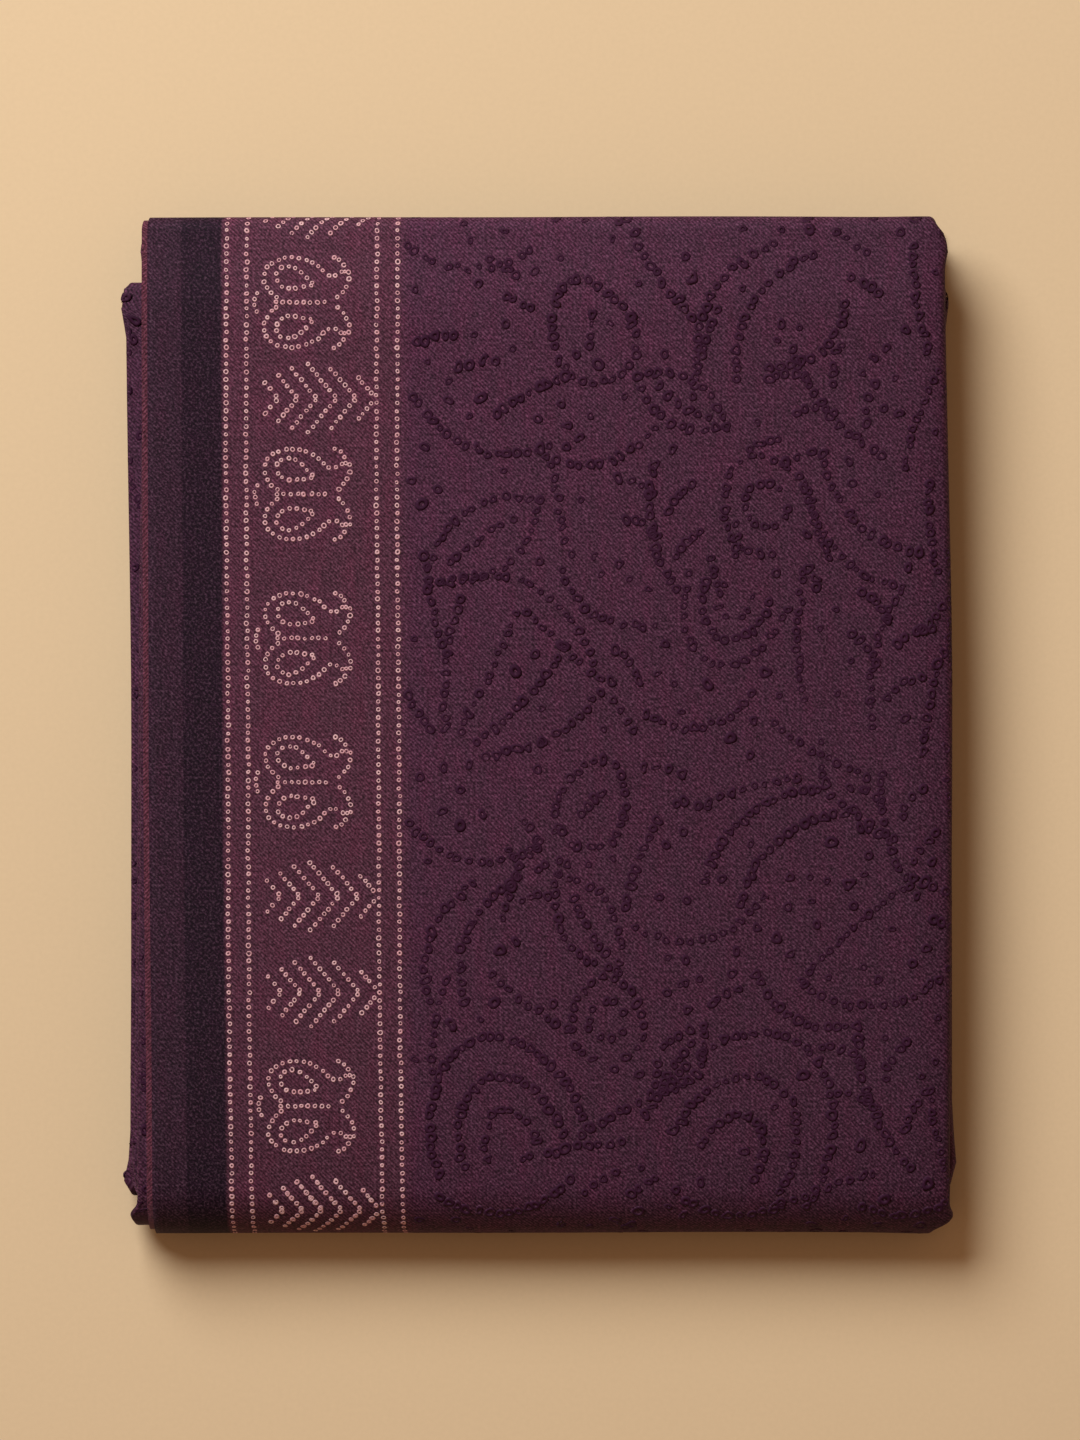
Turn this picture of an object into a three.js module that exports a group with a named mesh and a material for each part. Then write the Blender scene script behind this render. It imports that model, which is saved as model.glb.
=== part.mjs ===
// A cut length of printed dress cloth, folded in four along its length into a strip, and the strip then
// folded back and forth into six panels. The whole cloth is one sheet, so it is one solid.
// Millimetres: X runs to the right, Y to the back edge, Z up. The origin is under the middle of the bundle.
import * as THREE from 'three';

// Driving dimensions
const CLOTH = 1.0;
const LAYER_GAP = 0.3;
const LAYERS = 4;
const PANEL_GAP = 0.3;
const SECOND_SELVEDGE_SHOWS = 1.2;
const TUCK_SPREAD = 2.4;
const BACK_DROOP = 0.1;
const DROOP_STARTS = 136;
const PLUM = 0x553145;

// How finely the curves are cut
const ROLL_STEPS = 10;
const TURN_STEPS = 6;
const OUTER_FOLD_STEPS = 5;
const INNER_FOLD_STEPS = 3;
const STEPS_NEAR_A_FOLD = [0, 3, 7, 12, 19, 30];
const STEPS_IN_THE_MIDDLE = [0.38, 0.62];

// The panels in the order in which the strip runs, from its lower cut end to its inner one. The level counts
// up from the surface. Each edge is an X value at the panel's back end, its middle and its front end.
const PANELS = [
  {
    name: 'under', level: 0,
    selvedge: [-126.8, -126.8, -127.3], left: [-131.8, -133.2, -134.2], right: [134.2, 136.5, 136.4],
  },
  {
    name: 'top', level: 5,
    selvedge: [-131.0, -130.5, -129.3], left: [-132.2, -133.2, -134.4], right: [135.1, 137.6, 136.8],
  },
  {
    name: 'second', level: 4,
    selvedge: [-129.2, -128.0, -126.8], left: [-132.2, -134.0, -135.6], right: [134.8, 137.2, 137.5],
  },
  {
    name: 'third', level: 3,
    selvedge: [-125.4, -125.6, -124.8], left: [-138.4, -136.2, -136.2], right: [135.2, 137.7, 137.8],
  },
  {
    name: 'fourth', level: 2,
    selvedge: [-125.3, -124.8, -124.3], left: [-138.0, -135.8, -136.6], right: [135.3, 137.5, 137.6],
  },
  {
    name: 'fifth', level: 1,
    selvedge: [-127.8, -126.0, -124.8], left: [-132.3, -134.8, -136.4], right: [134.4, 136.8, 137.0],
  },
];

// The folds between one panel and the next. The reach is the Y value of the fold's outermost face. Beside a
// fold the cloth's edges stand out in ears, earAt from the fold, and at the fold itself they are tucked in.
const FOLDS = [
  {
    name: 'front roll', reach: -170.0, steps: ROLL_STEPS,
    earAt: 3.2, earWide: 2.6, ears: [2.4, 1.8], tucks: [-0.6, 5.0],
  },
  {
    name: 'back edge', reach: 170.0, steps: TURN_STEPS,
    earAt: 9.0, earWide: 3.5, ears: [1.2, 1.1], tucks: [0.4, 2.8],
  },
  {
    name: 'upper front fold', reach: -158.2, steps: TURN_STEPS,
    earAt: 13.0, earWide: 5.5, ears: [0.8, 2.1], tucks: [1.8, 1.6],
  },
  {
    name: 'inner back fold', reach: 151.0, steps: TURN_STEPS,
    earAt: 7.0, earWide: 6.0, ears: [1.9, 1.4], tucks: [1.2, 1.4],
  },
  {
    name: 'lower front fold', reach: -157.4, steps: TURN_STEPS,
    earAt: 3.5, earWide: 5.0, ears: [2.7, 0.3], tucks: [1.6, 1.2],
  },
];
const LOWER_CUT_END = 166.0;
const INNER_CUT_END = 162.0;

// Sizes that follow
const LAYER_PITCH = CLOTH + LAYER_GAP;
const STRIP = LAYERS * CLOTH + (LAYERS - 1) * LAYER_GAP;
const PANEL_PITCH = STRIP + PANEL_GAP;
const OUTER_FOLD_RADIUS = 1.5 * LAYER_PITCH;
const INNER_FOLD_RADIUS = 0.5 * LAYER_PITCH;

function middleHeight(panel) {
  return STRIP / 2 + panel.level * PANEL_PITCH;
}

// A fold is a half circle of the strip's middle line between the heights of its two panels.
function foldPlace(index) {
  const below = middleHeight(PANELS[index]);
  const above = middleHeight(PANELS[index + 1]);
  const radius = Math.abs(above - below) / 2;
  const side = Math.sign(FOLDS[index].reach);
  const tip = FOLDS[index].reach - side * STRIP / 2;
  const rises = Math.sign(above - below);
  return { y: tip - side * radius, z: (above + below) / 2, radius, side, tip, rises };
}

function smooth(t) {
  const clamped = Math.min(Math.max(t, 0), 1);
  return clamped * clamped * (3 - 2 * clamped);
}

function blend(a, b, t) {
  return a + (b - a) * t;
}

// An edge's X value part of the way from a panel's back end (0) to its front end (1).
function edgeAt([back, middle, front], part) {
  return part < 0.5 ? blend(back, middle, smooth(2 * part)) : blend(middle, front, smooth(2 * part - 1));
}

function panelEdges(panel, part) {
  return {
    selvedge: edgeAt(panel.selvedge, part),
    left: edgeAt(panel.left, part),
    right: edgeAt(panel.right, part),
  };
}

function mixedEdges(a, b, t) {
  return {
    selvedge: blend(a.selvedge, b.selvedge, t),
    left: blend(a.left, b.left, t),
    right: blend(a.right, b.right, t),
  };
}

// How far the left (0) or right (1) edge moves out at a distance from a fold: its ear less its tucked corner.
function standsOut(fold, side, distance) {
  const ear = Math.exp(-(((distance - fold.earAt) / fold.earWide) ** 2));
  const corner = Math.exp(-((distance / TUCK_SPREAD) ** 2));
  return fold.ears[side] * ear - fold.tucks[side] * corner;
}

// A station is a place on the strip's middle line: its Y and Z, its normal, and its edges there.
function station(y, z, normal, edges, nearFolds) {
  let { left, right } = edges;
  for (const index of nearFolds) {
    const distance = Math.abs(foldPlace(index).tip - y);
    left -= standsOut(FOLDS[index], 0, distance);
    right += standsOut(FOLDS[index], 1, distance);
  }
  return { y, z, normal, left, right, selvedge: edges.selvedge };
}

function panelStations(index) {
  const panel = PANELS[index];
  const last = PANELS.length - 1;
  const start = index === 0 ? LOWER_CUT_END : foldPlace(index - 1).y;
  const end = index === last ? INNER_CUT_END : foldPlace(index).y;
  const along = Math.sign(end - start);
  const length = Math.abs(end - start);
  const nearStart = index === 0 ? [0] : STEPS_NEAR_A_FOLD;
  const nearEnd = index === last ? [0] : STEPS_NEAR_A_FOLD;
  const steps = [
    ...nearStart,
    ...STEPS_IN_THE_MIDDLE.map((part) => part * length),
    ...nearEnd.map((step) => length - step).reverse(),
  ];
  const back = Math.max(start, end);
  const nearFolds = [index - 1, index].filter((fold) => fold >= 0 && fold < FOLDS.length);
  return steps.map((step) => {
    const y = start + along * step;
    const edges = panelEdges(panel, (back - y) / length);
    return station(y, middleHeight(panel), [0, along], edges, nearFolds);
  });
}

function foldStations(index) {
  const place = foldPlace(index);
  const atBack = place.side > 0;
  const before = panelEdges(PANELS[index], atBack ? 0 : 1);
  const after = panelEdges(PANELS[index + 1], atBack ? 0 : 1);
  const stations = [];
  for (let step = 1; step < FOLDS[index].steps; step += 1) {
    const part = step / FOLDS[index].steps;
    const angle = Math.PI * part;
    const outward = place.side * Math.sin(angle);
    const upward = -place.rises * Math.cos(angle);
    const turn = -place.side * place.rises;
    const y = place.y + place.radius * outward;
    const z = place.z + place.radius * upward;
    const edges = mixedEdges(before, after, smooth(part));
    stations.push(station(y, z, [turn * outward, turn * upward], edges, [index]));
  }
  return stations;
}

// Points of an arc in the section, from one angle to another in degrees, each with its outward direction.
function arc(x, n, radius, from, to, steps) {
  const points = [];
  for (let step = 0; step <= steps; step += 1) {
    const angle = THREE.MathUtils.degToRad(blend(from, to, step / steps));
    const c = Math.cos(angle);
    const s = Math.sin(angle);
    points.push({ x: x + radius * c, n: n + radius * s, c, s });
  }
  return points;
}

// The four-layer section at a station: points on the middle of the cloth, each with the direction that its
// printed face looks in. It runs from the upper selvedge over the right fold to the bottom layer, round the
// left fold, and home inside the right fold to the second selvedge.
function sectionLine({ left, right, selvedge }) {
  const rightX = right - OUTER_FOLD_RADIUS - CLOTH / 2;
  const leftX = left + INNER_FOLD_RADIUS + CLOTH / 2;
  const outer = arc(rightX, 0, OUTER_FOLD_RADIUS, 90, -90, OUTER_FOLD_STEPS);
  const under = arc(leftX, -LAYER_PITCH, INNER_FOLD_RADIUS, 270, 90, INNER_FOLD_STEPS);
  const inner = arc(rightX, 0, INNER_FOLD_RADIUS, -90, 90, INNER_FOLD_STEPS);
  return [
    { x: selvedge, n: OUTER_FOLD_RADIUS, c: 0, s: 1 },
    ...outer,
    ...under,
    ...inner.map((point) => ({ ...point, c: -point.c, s: -point.s })),
    { x: selvedge - SECOND_SELVEDGE_SHOWS, n: INNER_FOLD_RADIUS, c: 0, s: -1 },
  ];
}

// The section's closed outline: out along the back of the cloth, and home along its printed face.
function sectionOutline(at) {
  const line = sectionLine(at);
  const face = line.map(({ x, n, c, s }) => new THREE.Vector2(x + c * CLOTH / 2, n + s * CLOTH / 2));
  const back = line.map(({ x, n, c, s }) => new THREE.Vector2(x - c * CLOTH / 2, n - s * CLOTH / 2));
  return [...back, ...face.reverse()];
}

// The upper panels reach past the inner back fold, so with less under them they sink a little towards the
// back edge: every height there is reduced in proportion, which leaves the underside flat.
function settled(y) {
  const backEdge = FOLDS.find((fold) => fold.name === 'back edge').reach;
  return 1 - BACK_DROOP * smooth((y - DROOP_STARTS) / (backEdge - DROOP_STARTS));
}

function foldedCloth() {
  const stations = PANELS.flatMap((panel, index) => [
    ...panelStations(index),
    ...(index < FOLDS.length ? foldStations(index) : []),
  ]);
  const outlines = stations.map(sectionOutline);
  const around = outlines[0].length;
  const positions = [];
  stations.forEach(({ y, z, normal }, index) => {
    for (const point of outlines[index]) {
      const pointY = y + point.y * normal[0];
      const pointZ = z + point.y * normal[1];
      positions.push(point.x, pointY, pointZ * settled(pointY));
    }
  });
  const faces = [];
  for (let ring = 0; ring < stations.length - 1; ring += 1) {
    for (let corner = 0; corner < around; corner += 1) {
      const next = (corner + 1) % around;
      const a = ring * around + corner;
      const b = ring * around + next;
      faces.push(a, a + around, b, b, a + around, b + around);
    }
  }
  const lastRing = (stations.length - 1) * around;
  for (const [a, b, c] of THREE.ShapeUtils.triangulateShape(outlines[0], [])) {
    faces.push(a, b, c);
  }
  for (const [a, b, c] of THREE.ShapeUtils.triangulateShape(outlines[stations.length - 1], [])) {
    faces.push(lastRing + a, lastRing + c, lastRing + b);
  }
  const geometry = new THREE.BufferGeometry();
  geometry.setAttribute('position', new THREE.Float32BufferAttribute(positions, 3));
  geometry.setIndex(faces);
  geometry.computeVertexNormals();
  return geometry;
}

const cloth = new THREE.Mesh(
  foldedCloth(),
  new THREE.MeshStandardMaterial({ color: PLUM, roughness: 0.9, metalness: 0 }),
);
cloth.name = 'cloth';

const dressLength = new THREE.Group();
dressLength.add(cloth);

export default dressLength;
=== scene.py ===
"""A cut length of printed dress cloth, folded in four along its length and then back and forth.

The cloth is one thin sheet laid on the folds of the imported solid. Its print is raised pigment: small closed
rings set along lines, chevrons, paisleys and the field's motifs, each carried over the folds by the same
function that places the sheet. Lengths are millimetres until a mesh is written, and metres after that.
"""

import logging
import math
from dataclasses import dataclass, field
from enum import Enum

import bpy
import numpy as np
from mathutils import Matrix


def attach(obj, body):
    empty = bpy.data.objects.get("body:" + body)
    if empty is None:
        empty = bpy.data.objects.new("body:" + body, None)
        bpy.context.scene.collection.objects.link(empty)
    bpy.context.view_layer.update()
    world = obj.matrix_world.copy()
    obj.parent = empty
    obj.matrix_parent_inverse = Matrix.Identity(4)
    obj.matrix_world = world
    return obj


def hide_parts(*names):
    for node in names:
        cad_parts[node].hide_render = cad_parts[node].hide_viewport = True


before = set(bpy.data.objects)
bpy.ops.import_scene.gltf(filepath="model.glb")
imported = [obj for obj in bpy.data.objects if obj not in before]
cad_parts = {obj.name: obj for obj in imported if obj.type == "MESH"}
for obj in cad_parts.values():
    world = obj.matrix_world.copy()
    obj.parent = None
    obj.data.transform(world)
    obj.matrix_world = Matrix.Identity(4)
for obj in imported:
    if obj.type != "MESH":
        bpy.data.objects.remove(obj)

Array = np.ndarray
Socket = bpy.types.NodeSocket

MM = 0.001
BODY = "root"
CLOTH_NODE = "cloth"
CLOTH_MAP = "cloth"
BAKE_MAP = "OFBake"
INK = "ink"
log = logging.getLogger("dress_material")


def smooth(part: Array) -> Array:
    """Eases from 0 to 1: three times the square less twice the cube of the clipped part."""
    clipped = np.clip(part, 0.0, 1.0)
    return clipped * clipped * (3.0 - 2.0 * clipped)


def blend(first: Array, second: Array, part: Array) -> Array:
    """Goes from first to second as part goes from 0 to 1."""
    return first + (second - first) * part


# The folds of the cloth


@dataclass(frozen=True)
class Panel:
    """One run of the folded strip, with the X of each edge at its back end, its middle and its front end."""

    name: str
    level: int
    selvedge: tuple[float, float, float]
    left: tuple[float, float, float]
    right: tuple[float, float, float]


@dataclass(frozen=True)
class Turn:
    """The fold between two panels: how far it reaches, its ears and the tucked corners of its two ends."""

    name: str
    reach: float
    ear_at: float
    ear_wide: float
    ears: tuple[float, float]
    tucks: tuple[float, float]


PANELS = (
    Panel("under", 0, (-126.8, -126.8, -127.3), (-131.8, -133.2, -134.2), (134.2, 136.5, 136.4)),
    Panel("top", 5, (-131.0, -130.5, -129.3), (-132.2, -133.2, -134.4), (135.1, 137.6, 136.8)),
    Panel("second", 4, (-129.2, -128.0, -126.8), (-132.2, -134.0, -135.6), (134.8, 137.2, 137.5)),
    Panel("third", 3, (-125.4, -125.6, -124.8), (-138.4, -136.7, -136.8), (135.2, 137.7, 137.8)),
    Panel("fourth", 2, (-125.3, -124.8, -124.3), (-138.0, -136.4, -137.1), (135.3, 137.5, 137.6)),
    Panel("fifth", 1, (-127.8, -126.0, -124.8), (-132.3, -134.8, -136.4), (134.4, 136.8, 137.0)),
)
TURNS = (
    Turn("front roll", -170.0, 3.2, 2.6, (2.4, 1.8), (-0.6, 5.0)),
    Turn("back edge", 170.0, 9.0, 3.5, (1.2, 1.1), (0.4, 2.8)),
    Turn("upper front fold", -158.2, 13.0, 5.5, (0.8, 2.1), (1.8, 1.6)),
    Turn("inner back fold", 151.0, 7.0, 6.0, (1.9, 1.4), (1.2, 1.4)),
    Turn("lower front fold", -157.4, 3.5, 5.0, (2.7, 0.3), (1.6, 1.2)),
)


class Stretch(Enum):
    """What a stretch of the strip is: flat in a panel, or half a circle in a turn."""

    FLAT = "flat"
    ROUND = "round"


@dataclass(frozen=True)
class Run:
    """A stretch of the strip's middle line, from its start along the strip.

    The centre is where a flat run starts, or the middle of a round run's circle. The heading is +1 towards
    the back edge, the side is +1 for a turn at the back, and rises is +1 where the strip climbs.
    """

    kind: Stretch
    index: int
    start: float
    length: float
    y: float
    z: float
    heading: float = 1.0
    radius: float = 0.0
    side: float = 0.0
    rises: float = 0.0

    @property
    def turning(self) -> float:
        """Which way the printed face looks on a round run: +1 outwards."""
        return -self.side * self.rises


@dataclass(frozen=True)
class Station:
    """Places on the strip's middle line, as arrays: Y and Z, the normal in them, and the edges' X."""

    y: Array
    z: Array
    normal_y: Array
    normal_z: Array
    left: Array
    right: Array
    selvedge: Array


@dataclass
class FoldedCloth:
    """The folds as one function of the way across the cloth, the way along it and the height over it."""

    thickness: float = 0.6
    strip: float = 4.9
    panel_pitch: float = 5.2
    second_selvedge_shows: float = 1.9
    tuck_spread: float = 2.4
    lower_cut_end: float = 166.0
    inner_cut_end: float = 162.0
    back_droop: float = 0.1
    droop_starts: float = 136.0
    shoulder: tuple[float, float, float] = (0.085, 122.0, 138.0)
    front_shoulder: tuple[float, float] = (0.12, 125.0)
    layer_play: float = 0.25
    inner_play: float = 0.15
    play_fades_over: float = 22.0
    ripple: float = 0.010
    runs: list[Run] = field(default_factory=list)

    def __post_init__(self) -> None:
        """Lays the runs end to end, each panel followed by the turn after it."""
        start = 0.0
        for index, panel in enumerate(PANELS):
            begins = self.lower_cut_end if index == 0 else self.turn_circle(index - 1)[0]
            ends = self.inner_cut_end if index == len(PANELS) - 1 else self.turn_circle(index)[0]
            length = abs(ends - begins)
            heading = math.copysign(1.0, ends - begins)
            z = self.middle_height(panel)
            self.runs.append(Run(Stretch.FLAT, index, start, length, begins, z, heading))
            start += length
            if index < len(TURNS):
                y, z, radius, side, rises = self.turn_circle(index)
                length = math.pi * radius
                self.runs.append(
                    Run(Stretch.ROUND, index, start, length, y, z, 0.0, radius, side, rises)
                )
                start += length

    @property
    def outer_radius(self) -> float:
        """How far the outer layers' middle lies from the strip's middle line."""
        return (self.strip - self.thickness) / 2

    @property
    def inner_radius(self) -> float:
        """How far the inner layers' middle lies from the strip's middle line, at an even pitch."""
        return self.outer_radius / 3

    def middle_height(self, panel: Panel) -> float:
        """The height of a panel's middle line over the surface."""
        return self.strip / 2 + panel.level * self.panel_pitch

    def turn_circle(self, index: int) -> tuple[float, float, float, float, float]:
        """The circle of a turn's middle line.

        Args:
            index: the turn, which joins the panel of the same index to the next.

        Returns:
            Its centre's Y and Z, its radius, its side and whether it rises.
        """
        below = self.middle_height(PANELS[index])
        above = self.middle_height(PANELS[index + 1])
        radius = abs(above - below) / 2
        side = math.copysign(1.0, TURNS[index].reach)
        tip = TURNS[index].reach - side * self.strip / 2
        return tip - side * radius, (above + below) / 2, radius, side, math.copysign(1.0, above - below)

    def edge(self, values: tuple[float, float, float], part: Array) -> Array:
        """An edge's X part of the way from a panel's back end to its front end, eased in two halves."""
        back, middle, front = values
        first = blend(back, middle, smooth(2 * part))
        return np.where(part < 0.5, first, blend(middle, front, smooth(2 * part - 1)))

    def stands_out(self, index: int, side: int, y: Array) -> Array:
        """How far the left (0) or right (1) edge moves out near a turn: the ear's bell less the tuck's."""
        turn = TURNS[index]
        circle = self.turn_circle(index)
        away = np.abs(circle[0] + circle[3] * circle[2] - y)
        ear = np.exp(-(((away - turn.ear_at) / turn.ear_wide) ** 2))
        corner = np.exp(-((away / self.tuck_spread) ** 2))
        return turn.ears[side] * ear - turn.tucks[side] * corner

    def station(self, along: Array) -> Station:
        """Where the strip's middle line is.

        A flat run goes straight along Y. A round run is half a circle: its angle is pi times the part gone,
        Y moves by the sine and Z by the cosine, and the edges ease from one panel's end to the next one's.

        Args:
            along: distances along the strip's middle line.

        Returns:
            The station at each distance.
        """
        shape = along.shape
        out = {name: np.zeros(shape) for name in Station.__dataclass_fields__}
        for run in self.runs:
            here = (along >= run.start) & (along <= run.start + run.length + 1e-6)
            gone = along - run.start
            if run.kind is Stretch.FLAT:
                y = run.y + run.heading * gone
                z = np.full(shape, run.z)
                normal = (np.zeros(shape), np.full(shape, run.heading))
                back = max(run.y, run.y + run.heading * run.length)
                part = (back - y) / run.length
                panel = PANELS[run.index]
                edges = [self.edge(v, part) for v in (panel.left, panel.right, panel.selvedge)]
                near = [i for i in (run.index - 1, run.index) if 0 <= i < len(TURNS)]
            else:
                angle = math.pi * gone / run.length
                outward = run.side * np.sin(angle)
                upward = -run.rises * np.cos(angle)
                y = run.y + run.radius * outward
                z = run.z + run.radius * upward
                normal = (run.turning * outward, run.turning * upward)
                end = 0 if run.side > 0 else 2
                before, after = PANELS[run.index], PANELS[run.index + 1]
                mix = smooth(gone / run.length)
                edges = [
                    blend(first[end], last[end], mix)
                    for first, last in (
                        (before.left, after.left),
                        (before.right, after.right),
                        (before.selvedge, after.selvedge),
                    )
                ]
                near = [run.index]
            left, right, selvedge = edges
            for index in near:
                left = left - self.stands_out(index, 0, y)
                right = right + self.stands_out(index, 1, y)
            for name, value in zip(out, (y, z, *normal, left, right, selvedge)):
                out[name] = np.where(here, value, out[name])
        return Station(**out)

    def section_lengths(self, at: Station) -> tuple[Array, ...]:
        """The developed lengths of the section's seven parts.

        They are the upper layer, the right fold, the bottom layer, the left fold, the layer over it, the
        fold inside the right one, and the layer to the second selvedge.

        Args:
            at: the stations.

        Returns:
            The seven lengths at each station.
        """
        right = at.right - self.outer_radius - self.thickness / 2
        left = at.left + self.inner_radius + self.thickness / 2
        second = at.selvedge - self.second_selvedge_shows
        half_outer = np.full(at.y.shape, math.pi * self.outer_radius)
        half_inner = np.full(at.y.shape, math.pi * self.inner_radius)
        wide = right - left
        return right - at.selvedge, half_outer, wide, half_inner, wide, half_inner, right - second

    def section(self, across: Array, at: Station) -> tuple[Array, Array, Array, Array]:
        """The four-layer section: straight layers joined by half circles, walked from the upper selvedge.

        Each free layer has a little play: its height moves by a slow sine of X and of the way along, which
        fades towards the folds and keeps the layers apart.

        Args:
            across: distances from the upper selvedge over the cloth.
            at: the stations.

        Returns:
            X, the distance from the strip's middle line, and the printed face's direction in both.
        """
        lengths = self.section_lengths(at)
        starts = np.cumsum(np.stack((np.zeros(at.y.shape), *lengths)), axis=0)
        right = at.right - self.outer_radius - self.thickness / 2
        left = at.left + self.inner_radius + self.thickness / 2
        second = at.selvedge - self.second_selvedge_shows
        gone = [across - starts[k] for k in range(7)]
        one, none = np.ones(at.y.shape), np.zeros(at.y.shape)
        outer, inner = self.outer_radius, self.inner_radius
        turn_outer = math.pi / 2 - gone[1] / outer
        turn_left = math.pi * 1.5 - gone[3] / inner
        turn_inner = -math.pi / 2 + gone[5] / inner
        xs = (
            at.selvedge + gone[0],
            right + outer * np.cos(turn_outer),
            right - gone[2],
            left + inner * np.cos(turn_left),
            left + gone[4],
            right + inner * np.cos(turn_inner),
            right - gone[6],
        )
        play = [self.play_of(layer, x, at) for layer, x in ((0, xs[0]), (2, xs[2]), (4, xs[4]), (6, xs[6]))]
        from_right = smooth((right - xs[0]) / self.play_fades_over)
        heights = (
            outer - self.layer_play * (1 + play[0]) * from_right,
            outer * np.sin(turn_outer),
            -outer + self.layer_play * (1 + play[1]) * self.fades(xs[2], left, right),
            -2 * inner + inner * np.sin(turn_left),
            -inner + self.inner_play * play[2] * self.fades(xs[4], left, right),
            inner * np.sin(turn_inner),
            inner + self.inner_play * play[3] * smooth((right - xs[6]) / self.play_fades_over),
        )
        face_x = (none, np.cos(turn_outer), none, np.cos(turn_left), none, -np.cos(turn_inner), none)
        face_n = (one, np.sin(turn_outer), -one, np.sin(turn_left), one, -np.sin(turn_inner), -one)
        which = [across < starts[k + 1] for k in range(6)]
        return tuple(np.select(which, group[:6], group[6]) for group in (xs, heights, face_x, face_n))

    def fades(self, x: Array, left: Array, right: Array) -> Array:
        """0 at both folds of a layer and 1 away from them."""
        over = self.play_fades_over
        return smooth((right - x) / over) * smooth((x - left) / over)

    def play_of(self, layer: int, x: Array, at: Station) -> Array:
        """A slow wave from -1 to 1 for a layer: the mean of three sines, each layer out of step."""
        phase = 1.7 * layer + 0.9 * np.round(at.z / self.panel_pitch)
        return (
            np.sin(x / 23.0 + at.y / 41.0 + phase)
            + np.sin(at.y / 19.0 - x / 57.0 + 2.1 * phase)
            + np.sin(x / 61.0 - at.y / 31.0 + 0.6 * phase)
        ) / 3

    def settled(self, x: Array, y: Array) -> Array:
        """The share of its height that the bundle keeps.

        It sinks towards the back edge and, as shoulders, towards the right folds and the front roll, and
        swells and sinks a little all over by a product of slow sines. The share depends on X and Y alone, so
        layers stay apart.
        """
        back = 1 - self.back_droop * smooth((y - self.droop_starts) / (TURNS[1].reach - self.droop_starts))
        depth, begins, ends = self.shoulder
        side = 1 - depth * np.clip((x - begins) / (ends - begins), 0.0, 1.0) ** 2
        depth, begins = self.front_shoulder
        front = 1 - depth * np.clip((-y - begins) / (-TURNS[0].reach - begins), 0.0, 1.0) ** 2
        waves = np.sin(x / 33.0 + 0.8) * np.sin(y / 38.0 + 0.4) + 0.5 * np.sin((x + 1.4 * y) / 21.0)
        return back * side * front * (1 + self.ripple * waves)

    def place(self, across: Array, along: Array, lift: Array) -> Array:
        """Carries points of the flat cloth onto its folds.

        Args:
            across: distances from the upper selvedge.
            along: distances along the strip's middle line from the lower cut end.
            lift: heights over the middle of the cloth, on the printed side.

        Returns:
            Points with X, Y and Z in the last axis.
        """
        across, along, lift = np.broadcast_arrays(
            *(np.asarray(value, dtype=float) for value in (across, along, lift))
        )
        at = self.station(along)
        x, n, face_x, face_n = self.section(across, at)
        x = x + lift * face_x
        n = n + lift * face_n
        y = at.y + n * at.normal_y
        z = (at.z + n * at.normal_z) * self.settled(x, y)
        return np.stack((x, y, z), axis=-1)

    def print_marks(self) -> tuple[Array, Array]:
        """Matching distances along the middle line and the printed upper layer, longer round outer turns."""
        middle, printed = [0.0], [0.0]
        for run in self.runs:
            own = run.length
            if run.kind is Stretch.ROUND:
                own = math.pi * (run.radius + run.turning * self.outer_radius)
            middle.append(middle[-1] + run.length)
            printed.append(printed[-1] + own)
        return np.array(middle), np.array(printed)

    def along_of(self, printed: Array) -> Array:
        """The distance along the middle line for one along the printed upper layer."""
        middle, marks = self.print_marks()
        return np.interp(printed, marks, middle)

    def printed_of(self, along: Array) -> Array:
        """The distance along the printed upper layer for one along the middle line."""
        middle, marks = self.print_marks()
        return np.interp(along, middle, marks)

    def top_zero(self) -> float:
        """The distance along the printed layer at which the top panel passes Y = 0."""
        top = self.runs[2]
        return float(self.printed_of(np.array(top.start))) - top.y


# Meshes


@dataclass
class MeshParts:
    """What a piece's mesh is made from: points in millimetres, four-cornered faces, maps and values."""

    points: Array
    quads: Array
    corner_maps: dict[str, Array] = field(default_factory=dict)
    values: dict[str, Array] = field(default_factory=dict)
    slots: Array | None = None
    flat: Array | None = None

    def build(self, name: str, materials: list[bpy.types.Material]) -> bpy.types.Object:
        """Writes the mesh in metres, at the origin.

        Args:
            name: the piece's name.
            materials: its materials, in the order that slots counts them.

        Returns:
            The new object, linked to the scene.
        """
        mesh = bpy.data.meshes.new(name)
        corners = self.quads.size
        mesh.vertices.add(len(self.points))
        mesh.vertices.foreach_set("co", (self.points * MM).astype(np.float32).ravel())
        mesh.loops.add(corners)
        mesh.loops.foreach_set("vertex_index", self.quads.astype(np.int32).ravel())
        mesh.polygons.add(len(self.quads))
        mesh.polygons.foreach_set("loop_start", np.arange(0, corners, 4, dtype=np.int32))
        mesh.update(calc_edges=True)
        for map_name, corner_map in self.corner_maps.items():
            layer = mesh.uv_layers.new(name=map_name)
            layer.data.foreach_set("uv", corner_map.astype(np.float32).ravel())
        for value_name, value in self.values.items():
            attribute = mesh.attributes.new(value_name, "FLOAT", "POINT")
            attribute.data.foreach_set("value", value.astype(np.float32).ravel())
        if self.slots is not None:
            mesh.polygons.foreach_set("material_index", self.slots.astype(np.int32))
        rounded = np.ones(len(self.quads), bool) if self.flat is None else ~self.flat
        mesh.polygons.foreach_set("use_smooth", rounded)
        for material in materials:
            mesh.materials.append(material)
        mesh.validate()
        piece = bpy.data.objects.new(name, mesh)
        bpy.context.scene.collection.objects.link(piece)
        return piece


# Shader nodes


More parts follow.
